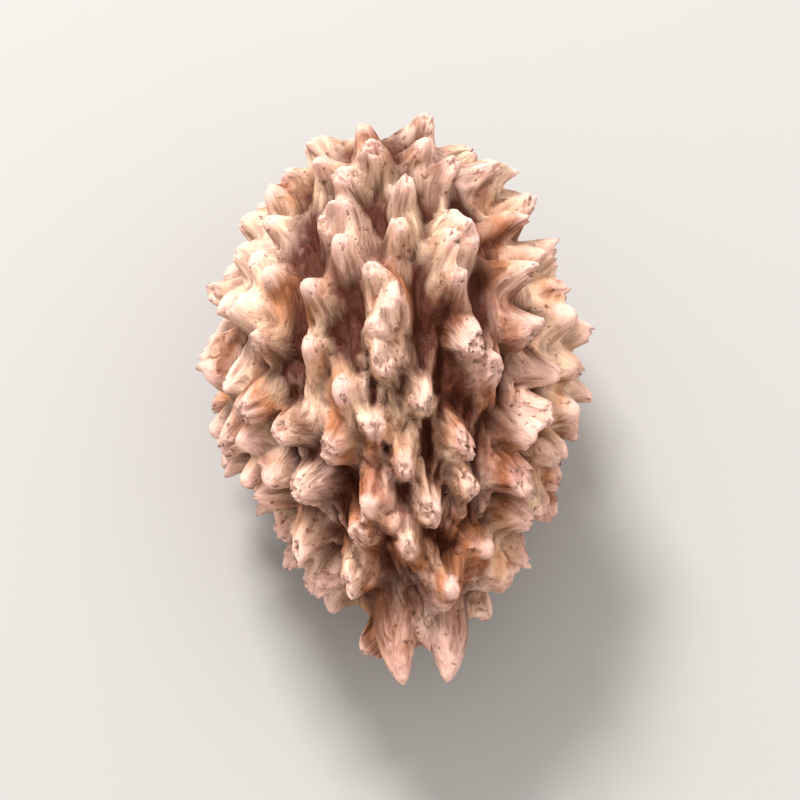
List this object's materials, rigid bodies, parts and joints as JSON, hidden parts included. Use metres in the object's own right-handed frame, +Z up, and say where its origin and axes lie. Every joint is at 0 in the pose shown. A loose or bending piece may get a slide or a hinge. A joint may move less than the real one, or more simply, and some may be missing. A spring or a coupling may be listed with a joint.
{
  "type": "cocklebur fruit",
  "caption": "Dried, roasted cocklebur fruit: a woody egg-shaped bur, covered in short prickles, round at its stalk scar and tapering to its beaks; it lies on its side.",
  "frame": {"origin": "middle of the bounding box in plan, on the surface that the bur rests on", "axes": "+Y along the bur from the beaks to the stalk scar, +Z up, +X across the two beaks"},
  "size_m": [0.0104, 0.0162, 0.0091],
  "materials": {
    "husk": "dry, rough, fibrous woody husk, dark in the grooves and pale on the worn prickle tips"
  },
  "bodies": {
    "root": {"bur": "husk"}
  },
  "joints": []
}
